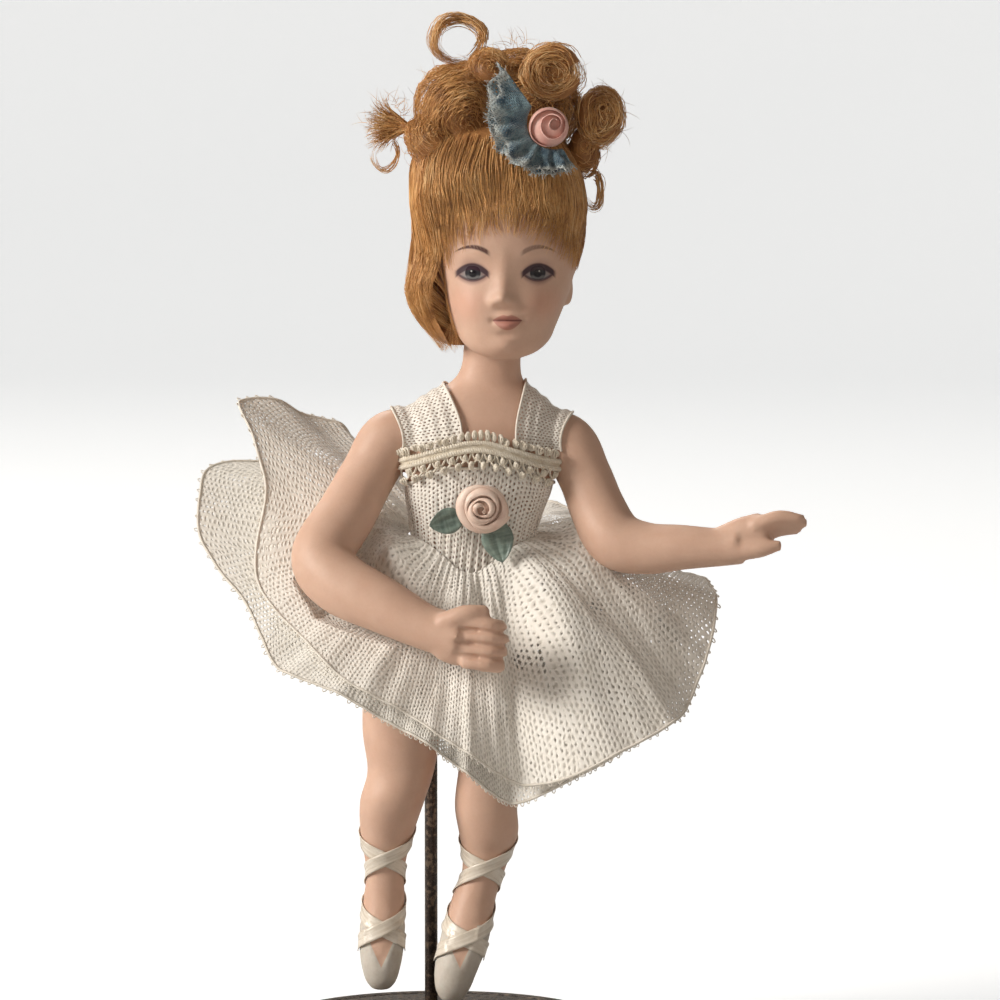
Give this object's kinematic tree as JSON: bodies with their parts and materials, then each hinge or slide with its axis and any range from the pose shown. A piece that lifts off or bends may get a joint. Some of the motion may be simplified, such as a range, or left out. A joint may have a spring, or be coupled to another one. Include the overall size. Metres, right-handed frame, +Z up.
{
  "type": "ballerina doll figurine",
  "caption": "Bisque ballerina doll en pointe in a knitted tulle tutu, with a pinned mohair wig, held at the hips by the clip of a round-based doll stand.",
  "frame": {"origin": "centre of the flat underside of the stand's round base, where it meets the shelf", "axes": "+Z up; -Y is the way the dancer faces; +X is towards the dancer's outstretched left hand"},
  "size_m": [0.1208, 0.068, 0.207],
  "materials": {
    "bisque": "unglazed porcelain, flesh tinted, with painted features",
    "mohair": "ginger mohair, curled",
    "ivory_tulle": "open knitted tulle",
    "lining_tulle": "finer, denser tulle",
    "ivory_braid": "corded picot braid",
    "blush_satin": "satin ribbon",
    "leaf_satin": "teal green satin",
    "blue_lace": "crumpled blue lace",
    "ivory_satin": "glossy satin ribbon",
    "dark_metal": "dark lacquered steel"
  },
  "bodies": {
    "root": {"figure": "bisque", "wig": "mohair", "bodice": "ivory_tulle", "strap_right": "ivory_tulle", "strap_left": "ivory_tulle", "bust_braid": "ivory_braid", "overskirt": "ivory_tulle", "underskirt": "lining_tulle", "hair_ruffle": "blue_lace", "hair_rose": "blush_satin", "waist_rose": "blush_satin", "leaf_right": "leaf_satin", "leaf_left": "leaf_satin", "right_ribbon_under": "ivory_satin", "right_ribbon_over": "ivory_satin", "left_ribbon_under": "ivory_satin", "left_ribbon_over": "ivory_satin", "stand_base": "dark_metal", "stand_rod": "dark_metal", "stand_clip": "dark_metal"}
  },
  "joints": []
}
